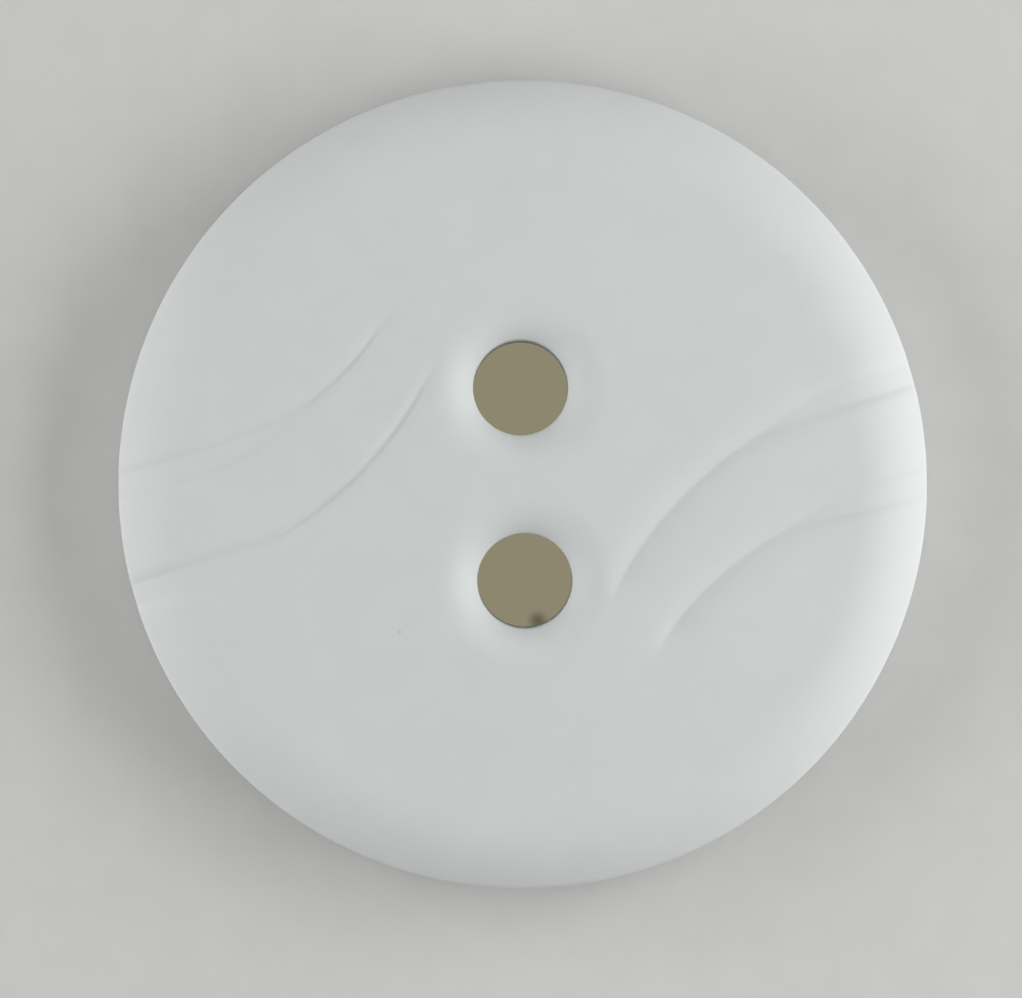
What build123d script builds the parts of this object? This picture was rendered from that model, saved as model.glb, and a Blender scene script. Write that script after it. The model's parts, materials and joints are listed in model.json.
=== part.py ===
from build123d import *
import os
from math import acos, asin, atan2, cos, degrees, hypot, radians, sin, sqrt

# A plain white two-hole sewing button, turned and cut from one piece.
# The origin is the middle of the flat back, +Z leaves through the face that shows on the
# garment, and +Y runs from the button's middle to the upper sewing hole.

# The disc, in millimetres: a flat back, an upright side and a slightly domed face
button_diameter = 20.0
button_thickness = 3.2
face_rise = 0.4
back_bevel = 0.6

# The soft shoulder between face and side, and its slope in degrees where it meets the side
shoulder_radius = 2.5
shoulder_slope = 48.0
rim_radius = 0.35

# The two sewing holes and their rounded mouths, in millimetres and degrees
hole_diameter = 2.35
hole_pitch = 4.76
mouth_radius = 1.3
mouth_edge_slope = 50.0
back_hole_bevel = 0.15

# The round-nosed cut of every groove: its width where it leaves the face and half-way along
groove_nose_radius = 0.6
groove_rim_width = 0.65
groove_middle_width = 0.4

# The two grooves on the left, each an arc in plan: centre, radius, and the direction from
# that centre, in degrees from +X, in which the groove fades out into the face
short_groove_x = -10.3
short_groove_y = 8.8
short_groove_radius = 8.45
short_groove_fade = -35.0
long_groove_x = -10.85
long_groove_y = 7.35
long_groove_radius = 9.8
long_groove_fade = -29.0

# How far each cut is carried on past both ends of its groove, so that it leaves cleanly
groove_overrun = 2.0

# Sizes that follow
button_radius = button_diameter / 2
hole_radius = hole_diameter / 2
dome_radius = (button_radius**2 + face_rise**2) / (2 * face_rise)
# The face ends where the shoulder, tangent to the dome, has to begin to reach the side
face_radius = (button_radius - shoulder_radius * sin(radians(shoulder_slope))) / (
    1 - shoulder_radius / dome_radius
)
face_rim_slope = degrees(asin(face_radius / dome_radius))
pilot_radius = hole_radius - mouth_radius * (1 - sin(radians(mouth_edge_slope)))


def face_height(x, y):
    """Height of the domed face above the back, at a place in plan."""
    return button_thickness - dome_radius + sqrt(dome_radius**2 - x**2 - y**2)


def groove_cutter(centre_x, centre_y, path_radius, fade_angle):
    """The space swept by a round-nosed cutter that sinks into the face towards the rim.

    Over the face the nose runs on a circle in a slightly tilted plane. Three places fix that
    plane: the rim of the face, half-way along, and the groove's inner end, where it only
    touches. Past the rim of the face it bends down and follows the shoulder.
    """
    centre_distance = hypot(centre_x, centre_y)
    turn_to_rim = acos(
        (centre_distance**2 + path_radius**2 - face_radius**2)
        / (2 * centre_distance * path_radius)
    )
    rim_angle = degrees(atan2(-centre_y, -centre_x) - turn_to_rim)
    middle_angle = (rim_angle + fade_angle) / 2

    nose_centres = []
    for angle, width in (
        (rim_angle, groove_rim_width),
        (middle_angle, groove_middle_width),
        (fade_angle, 0.0),
    ):
        x = centre_x + path_radius * cos(radians(angle))
        y = centre_y + path_radius * sin(radians(angle))
        nose_lift = sqrt(groove_nose_radius**2 - (width / 2) ** 2)
        nose_centres.append(Vector(x, y, face_height(x, y) + nose_lift))

    run = ThreePointArc(*nose_centres)
    run_angle = degrees((run.length + groove_overrun) / run.radius)
    run_plane = Plane(
        origin=run.arc_center,
        x_dir=nose_centres[0] - run.arc_center,
        z_dir=run.normal(),
    )

    outward = -(run % 0)
    bend_radius = shoulder_radius + nose_centres[0].Z - face_height(face_radius, 0)
    bend_angle = shoulder_slope + degrees(groove_overrun / bend_radius)
    bend_plane = Plane(
        origin=nose_centres[0], x_dir=outward, z_dir=outward.cross(Vector(0, 0, 1))
    )

    with BuildPart() as cutter:
        with BuildLine(run_plane):
            CenterArc((0, 0), run.radius, 0, run_angle)
        with BuildLine(bend_plane):
            bend = JernArc((0, 0), (1, 0), bend_radius, -bend_angle)
        with BuildSketch(Plane(bend @ 1, z_dir=-(bend % 1))):
            Circle(groove_nose_radius)
        sweep()
    return cutter.part


short_cutter = groove_cutter(
    short_groove_x, short_groove_y, short_groove_radius, short_groove_fade
)
long_cutter = groove_cutter(
    long_groove_x, long_groove_y, long_groove_radius, long_groove_fade
)

with BuildPart() as button:
    # The blank: flat back, upright side, soft shoulder and a slightly domed face
    with BuildSketch(Plane.XZ) as half_section:
        with BuildLine():
            dome = RadiusArc(
                (0, button_thickness), (face_radius, face_height(face_radius, 0)), dome_radius
            )
            shoulder = JernArc(
                dome @ 1, dome % 1, shoulder_radius, face_rim_slope - shoulder_slope
            )
            Polyline(shoulder @ 1, (button_radius, 0), (0, 0), dome @ 0)
        make_face()
        rim_corners = half_section.vertices().group_by(Axis.X)[-1].sort_by(Axis.Y)
        fillet(rim_corners[-1], rim_radius)
        rim_corners = half_section.vertices().group_by(Axis.X)[-1].sort_by(Axis.Y)
        chamfer(rim_corners[0], back_bevel)
    revolve(axis=Axis.Z)

    # Each sewing hole: the mouth of a narrow pilot hole is rolled over, then the hole is
    # drilled to size, which leaves the outer part of the roll as a soft dish in the face
    with Locations((0, 0, button_thickness)):
        with GridLocations(0, hole_pitch, 1, 2):
            Hole(pilot_radius)
    fillet(button.edges(Select.LAST).group_by(Axis.Z)[-1], mouth_radius)
    with Locations((0, 0, button_thickness)):
        with GridLocations(0, hole_pitch, 1, 2):
            Hole(hole_radius)
    chamfer(button.edges(Select.LAST).group_by(Axis.Z)[0], back_hole_bevel)

    # Two grooves on the left, and the same two turned half round for the right
    with PolarLocations(0, 2):
        add([short_cutter, long_cutter], mode=Mode.SUBTRACT)

button.part.label = "button"

os.makedirs("parts", exist_ok=True)
export_step(button.part, "parts/button.step")
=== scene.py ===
import json
from math import acos, asin, atan2, cos, hypot, pi, radians, sin, sqrt

import bmesh
import bpy
from mathutils import Matrix, Vector


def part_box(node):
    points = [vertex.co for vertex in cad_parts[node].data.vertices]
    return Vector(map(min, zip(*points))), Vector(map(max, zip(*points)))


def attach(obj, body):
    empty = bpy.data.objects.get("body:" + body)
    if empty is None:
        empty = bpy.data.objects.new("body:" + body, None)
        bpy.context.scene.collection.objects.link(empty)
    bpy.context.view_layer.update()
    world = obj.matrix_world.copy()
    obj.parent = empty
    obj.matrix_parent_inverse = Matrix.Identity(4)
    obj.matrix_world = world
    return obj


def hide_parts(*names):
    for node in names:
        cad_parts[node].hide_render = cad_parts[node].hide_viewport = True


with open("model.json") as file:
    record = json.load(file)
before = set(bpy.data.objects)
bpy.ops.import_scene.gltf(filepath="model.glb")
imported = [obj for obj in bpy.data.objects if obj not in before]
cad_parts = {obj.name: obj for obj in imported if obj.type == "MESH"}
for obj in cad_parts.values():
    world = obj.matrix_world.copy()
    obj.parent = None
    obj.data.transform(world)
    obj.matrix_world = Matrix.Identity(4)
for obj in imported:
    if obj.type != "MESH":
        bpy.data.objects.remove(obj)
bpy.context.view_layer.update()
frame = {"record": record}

# A millimetre, in metres
MM = 0.001

# The button's outline and holes, from the frame
button_low, button_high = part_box("button")
button_radius = (button_high.x - button_low.x) / 2
button_thickness = button_high.z
sewing_holes = [m for m in frame["record"]["mounts"] if m["kind"] == "bore"]
hole_radius = sewing_holes[0]["dims"]["r_mm"] * MM
hole_reach = max(m["pos_m"][1] for m in sewing_holes)

# The form of the disc as it was turned: the dome's rise, the shoulder with its slope where it
# would meet the side, the small rounding of the rim, and the bevel at the back
face_rise = 0.4 * MM
shoulder_radius = 2.5 * MM
shoulder_slope = radians(48)
rim_radius = 0.35 * MM
back_bevel = 0.6 * MM

# The rolled mouth of each sewing hole, and the bevel at the back
mouth_radius = 1.3 * MM
mouth_edge_slope = radians(50)
back_hole_bevel = 0.15 * MM

# How far tumbling has rounded the edges that turning and drilling left
drilled_edge_softening = 0.05 * MM
back_edge_softening = 0.12 * MM

# The grooves where they leave over the shoulder: half the width of their flat bottom, their
# depth, how far their walls reach, and how softly bottom and walls meet
groove_half_bottom = 0.24 * MM
groove_depth = 0.085 * MM
groove_reach = 0.15 * MM
groove_bottom_softening = 0.04 * MM
# A wall flattens out by this power, and ends at as many times its reach
groove_wall_power = 3

# Further in they close to a crease, with fine lips on the left and wide soft ones on the right,
# as depth and reach
left_crease = (0.11 * MM, 0.13 * MM)
right_crease = (0.15 * MM, 0.32 * MM)

# The two grooves on the left: centre of the arc, its radius, the direction from that centre in
# which it fades out, and the share of its run at which it has closed to a crease
short_groove_centre = Vector((-10.3, 8.8)) * MM
short_groove_radius = 8.45 * MM
short_groove_fade = radians(-35)
short_groove_closes = 0.75
long_groove_centre = Vector((-10.85, 7.35)) * MM
long_groove_radius = 9.8 * MM
long_groove_fade = radians(-29)
long_groove_closes = 0.35
# Both grooves on the right close at this share
right_groove_closes = 0.35
# Shares of its run over which every groove fades
fade_starts, fade_ends = 0.88, 1.12

# How finely the button's surface is divided
rim_steps = 384
middle_line_steps = 128
mouth_rings = 16
face_rings = 30
shoulder_rings = 16
rim_rings = 6
groove_divisions = 2
groove_fine_reach = 0.6 * MM
# Edges whose faces turn by more than this are softened, with so many facets
sharp_angle = radians(30)
softening_facets = 3
# How far a ring keeps off an edge that is softened, in widths of the softening
ring_clearance = 2
mouth_ring_clearance = 3
# Vertices nearer together than this are merged
merging_distance = 0.001 * MM
# Vertices this near to a ring lie on it
ring_tolerance = 0.005 * MM

# Sizes that follow
dome_radius = (button_radius**2 + face_rise**2) / (2 * face_rise)
# The shoulder is an arc tangent to the dome, and would meet the side at its own slope
shoulder_centre_r = button_radius - shoulder_radius * sin(shoulder_slope)
shoulder_centre_z = (
    button_thickness - dome_radius
    + sqrt((dome_radius - shoulder_radius) ** 2 - shoulder_centre_r**2)
)
face_radius = shoulder_centre_r * dome_radius / (dome_radius - shoulder_radius)
# The rim is a smaller arc, tangent to the shoulder and to the upright side
rim_centre_r = button_radius - rim_radius
rim_start_slope = asin((rim_centre_r - shoulder_centre_r) / (shoulder_radius - rim_radius))
rim_centre_z = shoulder_centre_z + (shoulder_radius - rim_radius) * cos(rim_start_slope)
rim_start_r = shoulder_centre_r + shoulder_radius * sin(rim_start_slope)
# The rolled mouth: its arc stands on a pilot hole smaller than the drilled one
pilot_radius = hole_radius - mouth_radius * (1 - sin(mouth_edge_slope))
mouth_reach = pilot_radius + mouth_radius


def srgb(hex_colour):
    """An sRGB hex colour as the linear colour that the shaders take."""
    channels = [int(hex_colour[i : i + 2], 16) / 255 for i in (1, 3, 5)]
    linear = [c / 12.92 if c <= 0.04045 else ((c + 0.055) / 1.055) ** 2.4 for c in channels]
    return (*linear, 1.0)


def add_node(tree, kind, settings=None, links=None, **properties):
    """A node of that kind, with its properties, its sockets' settings and its links."""
    node = tree.nodes.new(kind)
    for name, value in properties.items():
        setattr(node, name, value)
    for socket, value in (settings or {}).items():
        node.inputs[socket].default_value = value
    for socket, source in (links or {}).items():
        tree.links.new(source, node.inputs[socket])
    return node


def new_material(name):
    """An empty node material and its tree."""
    material = bpy.data.materials.new(name)
    material.use_nodes = True
    material.node_tree.nodes.clear()
    return material, material.node_tree


def add_object(name, data):
    """A new object in the scene, at the origin."""
    made = bpy.data.objects.new(name, data)
    bpy.context.scene.collection.objects.link(made)
    return made


# Form of the button


def smooth_step(start, end, value):
    """A soft step from 0 at the start to 1 at the end."""
    t = min(max((value - start) / (end - start), 0.0), 1.0)
    return t * t * (3 - 2 * t)


def lathe_height(r):
    """Height of the turned surface at a distance from the axis: dome, shoulder and rim."""
    if r <= face_radius:
        return button_thickness - dome_radius + sqrt(dome_radius**2 - r**2)
    if r <= rim_start_r:
        return shoulder_centre_z + sqrt(shoulder_radius**2 - (r - shoulder_centre_r) ** 2)
    out = min(r - rim_centre_r, rim_radius)
    return rim_centre_z + sqrt(rim_radius**2 - out**2)


def mouth_sink(x, y):
    """How far the rolled mouth of the nearer sewing hole lies below the dome."""
    r = hypot(x, abs(y) - hole_reach)
    out = mouth_reach - max(r, hole_radius)
    if out <= 0:
        return 0.0
    return mouth_radius - sqrt(mouth_radius**2 - out**2)


class Groove:
    """A shallow cut that comes in over the shoulder, closes to a crease and fades out of the face.

    In plan its middle line is an arc up to the rim of the face, and from there on it is straight.
    """

    def __init__(self, centre, path_radius, fade_angle, closes):
        self.centre = centre
        self.path_radius = path_radius
        self.closes = closes
        turn_to_rim = acos(
            (centre.length_squared + path_radius**2 - face_radius**2)
            / (2 * centre.length * path_radius)
        )
        self.rim_angle = atan2(-centre.y, -centre.x) - turn_to_rim
        self.run = (fade_angle - self.rim_angle) * path_radius
        self.sideways = Vector((cos(self.rim_angle), sin(self.rim_angle)))
        self.outward = Vector((self.sideways.y, -self.sideways.x))
        self.rim_place = centre + path_radius * self.sideways

    def past_rim(self, x, y):
        """How far, along the run, a place in plan lies beyond the rim of the face."""
        return (Vector((x, y)) - self.rim_place).dot(self.outward)

    def share(self, x, y):
        """Place along the run: 0 at the rim of the face, 1 at the inner end."""
        out = self.past_rim(x, y)
        if out > 0:
            return -out / self.run
        angle = atan2(y - self.centre.y, x - self.centre.x)
        return (angle - self.rim_angle) * self.path_radius / self.run

    def across(self, x, y):
        """Distance across the groove from its middle line, outwards from the arc's centre."""
        if self.past_rim(x, y) > 0:
            return (Vector((x, y)) - self.rim_place).dot(self.sideways)
        return (Vector((x, y)) - self.centre).length - self.path_radius

    def sink(self, x, y, crease, closes):
        """How far the groove lies below the turned face, where it closes to that crease."""
        crease_depth, crease_reach = crease
        off = abs(self.across(x, y))
        if off > groove_half_bottom + groove_wall_power * crease_reach:
            return 0.0
        share = self.share(x, y)
        openness = 1 - smooth_step(0, closes, share)
        off = max(off - groove_half_bottom * openness, 0.0)
        off = hypot(off, groove_bottom_softening) - groove_bottom_softening
        depth = crease_depth + (groove_depth - crease_depth) * openness
        reach = crease_reach + (groove_reach - crease_reach) * openness
        depth *= 1 - smooth_step(fade_starts, fade_ends, share)
        return depth * max(1 - off / (groove_wall_power * reach), 0.0) ** groove_wall_power


# The two on the right are these two turned half round, with another crease
left_grooves = (
    Groove(short_groove_centre, short_groove_radius, short_groove_fade, short_groove_closes),
    Groove(long_groove_centre, long_groove_radius, long_groove_fade, long_groove_closes),
)


def matching_left_place(x, y):
    """A place in plan, turned half round to the left where it lies on the right."""
    return (-x, -y) if x > 0 else (x, y)


def near_a_groove(x, y):
    """Whether a place in plan lies in the strips that are divided finely."""
    x, y = matching_left_place(x, y)
    return any(
        abs(groove.across(x, y)) < groove_fine_reach and groove.share(x, y) < fade_ends
        for groove in left_grooves
    )


def face_height(x, y):
    """Height of the finished face: the turned form, the rolled mouths and the grooves."""
    z = lathe_height(hypot(x, y)) - mouth_sink(x, y)
    on_the_right = x > 0
    crease = right_crease if on_the_right else left_crease
    x, y = matching_left_place(x, y)
    for groove in left_grooves:
        closes = right_groove_closes if on_the_right else groove.closes
        z -= groove.sink(x, y, crease, closes)
    return z


# The button's mesh


def circle_edges(bm, radius, segments, centre_y):
    """A ring of edges round a point on the middle line."""
    made = bmesh.ops.create_circle(
        bm, cap_ends=False, radius=radius, segments=segments,
        matrix=Matrix.Translation((0, centre_y, 0)),
    )
    return list({edge for vert in made["verts"] for edge in vert.link_edges})


def half_disc_edges(bm, radius):
    """The outline of the upper half of a disc, its straight side on the middle line."""
    made = bmesh.ops.create_circle(bm, cap_ends=False, radius=radius, segments=rim_steps)
    below = [v for v in made["verts"] if v.co.y < -merging_distance]
    kept = [v for v in made["verts"] if v.co.y >= -merging_distance]
    bmesh.ops.delete(bm, geom=below, context="VERTS")
    ends = sorted(kept, key=lambda v: v.co.y)[:2]
    straight = bm.edges.new(ends)
    arc = {edge for vert in kept for edge in vert.link_edges} - {straight}
    divided = bmesh.ops.subdivide_edges(bm, edges=[straight], cuts=middle_line_steps - 1)
    line = {item for item in divided["geom_inner"] if isinstance(item, bmesh.types.BMEdge)}
    line |= {item for item in divided["geom_split"] if isinstance(item, bmesh.types.BMEdge)}
    return list(arc | line)


def fill_between(bm, inner, outer, rings):
    """Joins two loops with the same number of vertices by that many rings of faces."""
    made = bmesh.ops.bridge_loops(bm, edges=inner + outer)
    spokes = {e for face in made["faces"] for e in face.edges} - set(inner + outer)
    bmesh.ops.subdivide_edges(bm, edges=list(spokes), cuts=rings - 1, use_grid_fill=True)


def add_face_plate(bm):
    """A flat disc with the two sewing holes, made as one half and its copy turned half round."""
    # Every loop has as many edges as the outline of the half disc, so that they can be joined
    segments = rim_steps // 2 + middle_line_steps
    drilled = circle_edges(bm, hole_radius, segments, hole_reach)
    mouth = circle_edges(bm, mouth_reach, segments, hole_reach)
    fill_between(bm, drilled, mouth, mouth_rings)
    fill_between(bm, mouth, half_disc_edges(bm, face_radius), face_rings)
    copied = bmesh.ops.duplicate(bm, geom=bm.faces[:])
    turned = [item for item in copied["geom"] if isinstance(item, bmesh.types.BMVert)]
    bmesh.ops.rotate(bm, verts=turned, cent=(0, 0, 0), matrix=Matrix.Rotation(pi, 3, "Z"))
    bmesh.ops.remove_doubles(bm, verts=bm.verts[:], dist=merging_distance)


def loop_at(bm, radius, centre_y):
    """The open edges that lie on a circle round a point on the middle line."""
    return [
        e for e in bm.edges
        if e.is_boundary and all(
            abs(hypot(v.co.x, v.co.y - centre_y) - radius) < ring_tolerance for v in e.verts
        )
    ]


def carry_loop(bm, loop, centre_y, stations):
    """Extrudes a loop through rings given as (radius, height) round a point on the middle line."""
    for radius, height in stations:
        made = bmesh.ops.extrude_edge_only(bm, edges=loop)
        loop = [item for item in made["geom"] if isinstance(item, bmesh.types.BMEdge)]
        for vert in {v for e in loop for v in e.verts}:
            out = Vector((vert.co.x, vert.co.y - centre_y)).normalized() * radius
            vert.co = (out.x, out.y + centre_y, height)


def arc_stations(centre_r, centre_z, radius, start_slope, end_slope, rings):
    """Rings along a rounding, as (radius, height) at even angles after the first."""
    slopes = [start_slope + (end_slope - start_slope) * i / rings for i in range(1, rings + 1)]
    return [(centre_r + radius * sin(t), centre_z + radius * cos(t)) for t in slopes]


def edges_at(bm, radius, height=None, centre_y=None):
    """The edges on a ring about the button's axis or both sewing holes, at a height or at any."""
    def on_ring(co):
        y = co.y if centre_y is None else abs(co.y) - centre_y
        return abs(hypot(co.x, y) - radius) < ring_tolerance and (
            height is None or abs(co.z - height) < ring_tolerance
        )
    return [e for e in bm.edges if all(on_ring(v.co) for v in e.verts)]


def soften(bm, edges, width):
    """Rounds off the sharp ones among some edges."""
    sharp = [e for e in edges if len(e.link_faces) == 2 and e.calc_face_angle() > sharp_angle]
    bmesh.ops.bevel(
        bm, geom=sharp, offset=width, affect="EDGES", segments=softening_facets, profile=0.5,
        material=-1,
    )


def make_button():
    """The button as one closed shell."""
    bm = bmesh.new()

    # The face, flat for now, with close rings in the mouths, and the shoulder and rim round it
    add_face_plate(bm)
    carry_loop(
        bm, loop_at(bm, face_radius, 0), 0,
        arc_stations(
            shoulder_centre_r, shoulder_centre_z, shoulder_radius,
            asin(face_radius / dome_radius), rim_start_slope, shoulder_rings,
        )
        + arc_stations(
            rim_centre_r, rim_centre_z, rim_radius, rim_start_slope, pi / 2, rim_rings
        ),
    )

    # Finer faces along the grooves, then the face takes its form
    fine = [e for e in bm.edges if all(near_a_groove(v.co.x, v.co.y) for v in e.verts)]
    bmesh.ops.subdivide_edges(bm, edges=fine, cuts=groove_divisions, use_grid_fill=True)
    for vert in bm.verts:
        vert.co.z = face_height(vert.co.x, vert.co.y)

    # The side and the bevel, down to the flat back, with a ring close to each edge
    carry_loop(
        bm, loop_at(bm, button_radius, 0), 0,
        [
            (button_radius, back_bevel + ring_clearance * back_edge_softening),
            (button_radius, back_bevel),
            (button_radius - back_bevel, 0),
        ],
    )

    # The walls of the sewing holes and the bevels at the back, with rings close to their edges
    for centre_y in (hole_reach, -hole_reach):
        mouth_edge = loop_at(bm, hole_radius, centre_y)
        wall_top = min(v.co.z for e in mouth_edge for v in e.verts)
        carry_loop(
            bm, mouth_edge, centre_y,
            [
                (hole_radius, wall_top - mouth_ring_clearance * drilled_edge_softening),
                (hole_radius, back_hole_bevel + ring_clearance * drilled_edge_softening),
                (hole_radius, back_hole_bevel),
                (hole_radius + back_hole_bevel, 0),
            ],
        )

    # The flat back closes the shell
    bmesh.ops.triangle_fill(bm, edges=[e for e in bm.edges if e.is_boundary], use_beauty=True)

    # The edges that drilling and turning left, softened by tumbling
    soften(bm, edges_at(bm, hole_radius, centre_y=hole_reach), drilled_edge_softening)
    soften(
        bm, edges_at(bm, hole_radius + back_hole_bevel, 0, hole_reach), drilled_edge_softening
    )
    soften(
        bm,
        edges_at(bm, button_radius, back_bevel)
        + edges_at(bm, button_radius - back_bevel, 0),
        back_edge_softening,
    )
    bmesh.ops.recalc_face_normals(bm, faces=bm.faces)
    for face in bm.faces:
        face.smooth = True

    mesh = bpy.data.meshes.new("polyester_button")
    bm.to_mesh(mesh)
    bm.free()
    return add_object("polyester_button", mesh)


# Materials

# The colour sockets of a Mix node, which share their names with its number sockets
MIX_FIRST_COLOUR, MIX_SECOND_COLOUR, MIX_COLOUR = 6, 7, 2

# The resin's faint clouding, where the filler lies more or less densely, and how strongly the
# finer mottling shows in it
cloud_size = 3.5 * MM
mottle_size = 0.8 * MM
mottle_share = 0.4
# Tumbling leaves a grain of about 0.03 mm, drawn coarser here so that it shows at all
tumble_grain_size = 0.12 * MM
tumble_grain_depth = 0.0012 * MM

# Small marks on the face, as place and radius in mm, and how far they darken it
face_marks = (
    ((-3.11, -3.56), 0.085, 0.16),
    ((-0.28, 7.41), 0.65, 0.016),
    ((1.22, -9.15), 0.75, 0.02),
)

# How far from the axis the table top carries a painted shade: an olive glow that stands for the
# shade seen through the sewing holes
under_button_radius = 9 * MM
# A darker dab on it below the lower hole, as place, radius and strength
dark_dab_place = Vector((0.31, -3.43, 0)) * MM
dark_dab_radius = 0.34 * MM
dark_dab_strength = 0.9
# The table top's unevenness in colour
table_cloud_size = 1.2 * MM


def spot(tree, place, centre, radius, strength):
    """A soft round spot: its strength in the middle, nothing from its radius outwards."""
    away = add_node(
        tree, "ShaderNodeVectorMath", {1: centre}, {0: place}, operation="DISTANCE"
    )
    fall = add_node(
        tree, "ShaderNodeMapRange",
        {"From Min": 0.0, "From Max": radius, "To Min": strength, "To Max": 0.0},
        {"Value": away.outputs["Value"]}, interpolation_type="SMOOTHSTEP",
    )
    return fall.outputs["Result"]


def matte_polyester():
    """Cast polyester, tumbled matt.

    Tumbling leaves a very fine grain that spreads the light, so it is an even cool white with
    a soft sheen and no gloss. The resin lets in a little light, which softens its edges.
    """
    material, tree = new_material("matte_polyester")
    place = add_node(tree, "ShaderNodeTexCoord").outputs["Object"]

    # The white of the resin: wide clouds, and finer mottling over them
    clouds = add_node(
        tree, "ShaderNodeTexNoise", {"Scale": 1 / cloud_size, "Detail": 2.0}, {"Vector": place}
    )
    clouded = add_node(
        tree, "ShaderNodeMix",
        {MIX_FIRST_COLOUR: srgb("#cbcfce"), MIX_SECOND_COLOUR: srgb("#d1d4d3")},
        {"Factor": clouds.outputs["Fac"]}, data_type="RGBA",
    )
    mottles = add_node(
        tree, "ShaderNodeTexNoise", {"Scale": 1 / mottle_size, "Detail": 4.0}, {"Vector": place}
    )
    mottled = add_node(
        tree, "ShaderNodeMix",
        {MIX_FIRST_COLOUR: srgb("#c9cdcc"), MIX_SECOND_COLOUR: srgb("#d3d6d5")},
        {"Factor": mottles.outputs["Fac"]}, data_type="RGBA",
    )
    resin = add_node(
        tree, "ShaderNodeMix", {"Factor": mottle_share},
        {
            MIX_FIRST_COLOUR: clouded.outputs[MIX_COLOUR],
            MIX_SECOND_COLOUR: mottled.outputs[MIX_COLOUR],
        },
        data_type="RGBA",
    )

    # The marks on the face, each towards the colour of dust
    marks = None
    for (x, y), radius, strength in face_marks:
        centre = Vector((x * MM, y * MM, face_height(x * MM, y * MM)))
        mark = spot(tree, place, centre, radius * MM, strength)
        marks = mark if marks is None else add_node(
            tree, "ShaderNodeMath", None, {0: marks, 1: mark}, operation="MAXIMUM"
        ).outputs["Value"]
    marked = add_node(
        tree, "ShaderNodeMix", {MIX_SECOND_COLOUR: srgb("#4a463f")},
        {"Factor": marks, MIX_FIRST_COLOUR: resin.outputs[MIX_COLOUR]}, data_type="RGBA",
    )

    # The grain that tumbling left, and how far it has taken the polish off
    grain = add_node(
        tree, "ShaderNodeTexNoise", {"Scale": 1 / tumble_grain_size, "Detail": 3.0},
        {"Vector": place},
    )
    bump = add_node(
        tree, "ShaderNodeBump", {"Strength": 1.0, "Distance": tumble_grain_depth},
        {"Height": grain.outputs["Fac"]},
    )
    polish = add_node(
        tree, "ShaderNodeTexNoise", {"Scale": 1 / mottle_size, "Detail": 2.0}, {"Vector": place}
    )
    roughness = add_node(
        tree, "ShaderNodeMapRange",
        {"From Min": 0.3, "From Max": 0.7, "To Min": 0.5, "To Max": 0.6},
        {"Value": polish.outputs["Fac"]},
    )

    shader = add_node(
        tree, "ShaderNodeBsdfPrincipled",
        {
            "IOR": 1.5,
            "Specular IOR Level": 0.4,
            "Subsurface Weight": 0.3,
            "Subsurface Radius": (1.0, 0.95, 0.85),
            "Subsurface Scale": 0.3 * MM,
        },
        {
            "Base Color": marked.outputs[MIX_COLOUR],
            "Roughness": roughness.outputs["Result"],
            "Normal": bump.outputs["Normal"],
        },
    )
    add_node(tree, "ShaderNodeOutputMaterial", links={"Surface": shader.outputs["BSDF"]})
    return material


def pale_table_top():
    """A matt pale grey table top, with painted olive shade seen through the sewing holes."""
    material, tree = new_material("pale_table_top")
    place = add_node(tree, "ShaderNodeTexCoord").outputs["Object"]
    clouds = add_node(
        tree, "ShaderNodeTexNoise", {"Scale": 1 / table_cloud_size, "Detail": 4.0},
        {"Vector": place},
    )
    clouded = add_node(
        tree, "ShaderNodeMix",
        {MIX_FIRST_COLOUR: srgb("#c6c6c4"), MIX_SECOND_COLOUR: srgb("#cecdcc")},
        {"Factor": clouds.outputs["Fac"]}, data_type="RGBA",
    )
    table = add_node(
        tree, "ShaderNodeBsdfPrincipled",
        {"Roughness": 0.9, "Specular IOR Level": 0.2},
        {"Base Color": clouded.outputs[MIX_COLOUR]},
    )

    # Below the holes hardly any light arrives, so the shade seen there is painted, as an olive
    # glow
    painted_shade_and_dab = add_node(
        tree, "ShaderNodeMix",
        {MIX_FIRST_COLOUR: srgb("#8d876f"), MIX_SECOND_COLOUR: srgb("#5b5644")},
        {"Factor": spot(tree, place, dark_dab_place, dark_dab_radius, dark_dab_strength)},
        data_type="RGBA",
    )
    beneath = add_node(
        tree, "ShaderNodeEmission", {"Strength": 1.0}, {"Color": painted_shade_and_dab.outputs[MIX_COLOUR]}
    )
    from_axis = add_node(tree, "ShaderNodeVectorMath", None, {0: place}, operation="LENGTH")
    is_beneath = add_node(
        tree, "ShaderNodeMath", {1: under_button_radius}, {0: from_axis.outputs["Value"]},
        operation="LESS_THAN",
    )

    # Only the rays that see the table top find the painted shade, so it lights nothing
    ray = add_node(tree, "ShaderNodeLightPath").outputs
    sees = ray["Is Camera Ray"]
    for kind in ("Is Glossy Ray", "Is Transmission Ray"):
        sees = add_node(
            tree, "ShaderNodeMath", None, {0: sees, 1: ray[kind]}, operation="MAXIMUM"
        ).outputs["Value"]
    shows = add_node(
        tree, "ShaderNodeMath", None, {0: is_beneath.outputs["Value"], 1: sees},
        operation="MULTIPLY",
    )
    surface = add_node(
        tree, "ShaderNodeMixShader", None,
        {0: shows.outputs["Value"], 1: table.outputs["BSDF"], 2: beneath.outputs["Emission"]},
    )
    add_node(tree, "ShaderNodeOutputMaterial", links={"Surface": surface.outputs["Shader"]})
    return material


# Stage, light and camera

# The floor's side, in metres, and how far it lies below the button, so that their faces don't
# coincide
floor_size = 0.8
floor_gap = 0.01 * MM

# The even light of the room, as the strength of the world
room_light = 0.235


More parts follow.
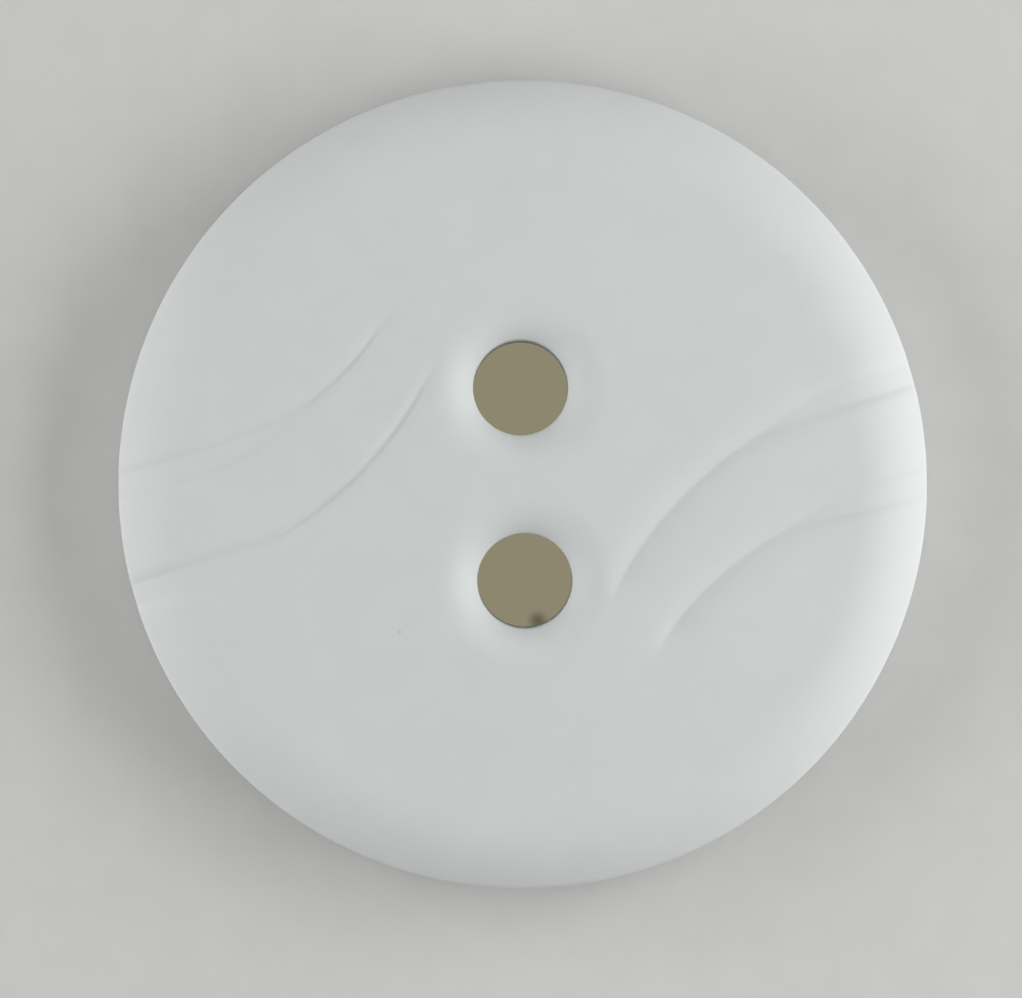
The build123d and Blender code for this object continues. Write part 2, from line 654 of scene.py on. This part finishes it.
def make_floor():
    """The flat table top that the button lies on."""
    bm = bmesh.new()
    bmesh.ops.create_grid(
        bm, x_segments=1, y_segments=1, size=floor_size / 2,
        matrix=Matrix.Translation((0, 0, -floor_gap)),
    )
    mesh = bpy.data.meshes.new("table_top")
    bm.to_mesh(mesh)
    bm.free()
    floor = add_object("table_top", mesh)
    floor.data.materials.append(pale_table_top())


def add_lamp(name, azimuth, elevation, distance, width, height, watts):
    """A soft rectangular lamp that looks at the button's middle."""
    data = bpy.data.lights.new(name, "AREA")
    data.shape = "RECTANGLE"
    data.size = width
    data.size_y = height
    data.energy = watts
    lamp = add_object(name, data)
    towards = Vector((
        cos(azimuth) * cos(elevation), sin(azimuth) * cos(elevation), sin(elevation)
    ))
    lamp.location = towards * distance
    lamp.rotation_euler = towards.to_track_quat("Z", "Y").to_euler()
    lamp.visible_camera = False


def make_world():
    """An even white room."""
    world = bpy.data.worlds.new("soft_room")
    world.use_nodes = True
    tree = world.node_tree
    tree.nodes.clear()
    light = add_node(
        tree, "ShaderNodeBackground", {"Color": srgb("#ffffff"), "Strength": room_light}
    )
    add_node(tree, "ShaderNodeOutputWorld", links={"Surface": light.outputs["Background"]})
    bpy.context.scene.world = world


def make_camera():
    """Straight above the button, which fills the frame as it does in the photograph."""
    # The frame, the button's middle and its radius in it, in pixels, and how far the line
    # through the sewing holes leans to the left
    image_width, image_height = 1022, 998
    button_centre_x, button_centre_y = 522.7, 484.3
    button_radius_px = 404.3
    lean = radians(1.26)

    data = bpy.data.cameras.new("camera")
    data.lens = 200
    data.sensor_width = 36
    data.clip_start = 0.01
    data.clip_end = 10
    camera = add_object("camera", data)
    pixel = button_radius / button_radius_px
    distance = image_width * pixel * data.lens / data.sensor_width
    off_x = (button_centre_x - image_width / 2) * pixel
    off_y = (image_height / 2 - button_centre_y) * pixel
    turn = Matrix.Rotation(-lean, 4, "Z")
    camera.location = turn @ Vector((-off_x, -off_y, 0)) + Vector((0, 0, distance + rim_centre_z))
    camera.rotation_euler = (0, 0, -lean)
    bpy.context.scene.camera = camera


button = make_button()
button.data.materials.append(matte_polyester())
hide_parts("button")
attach(button, "root")

make_floor()
# A softbox on either side, the right one stronger, and a weak one towards the top
add_lamp(
    "right_softbox", azimuth=radians(0), elevation=radians(27), distance=0.12,
    width=0.15, height=0.11, watts=0.182,
)
add_lamp(
    "left_softbox", azimuth=radians(180), elevation=radians(26), distance=0.12,
    width=0.15, height=0.09, watts=0.120,
)
add_lamp(
    "top_softbox", azimuth=radians(90), elevation=radians(35), distance=0.16,
    width=0.10, height=0.10, watts=0.0126,
)
make_world()
make_camera()

bpy.context.scene.view_settings.view_transform = "Standard"
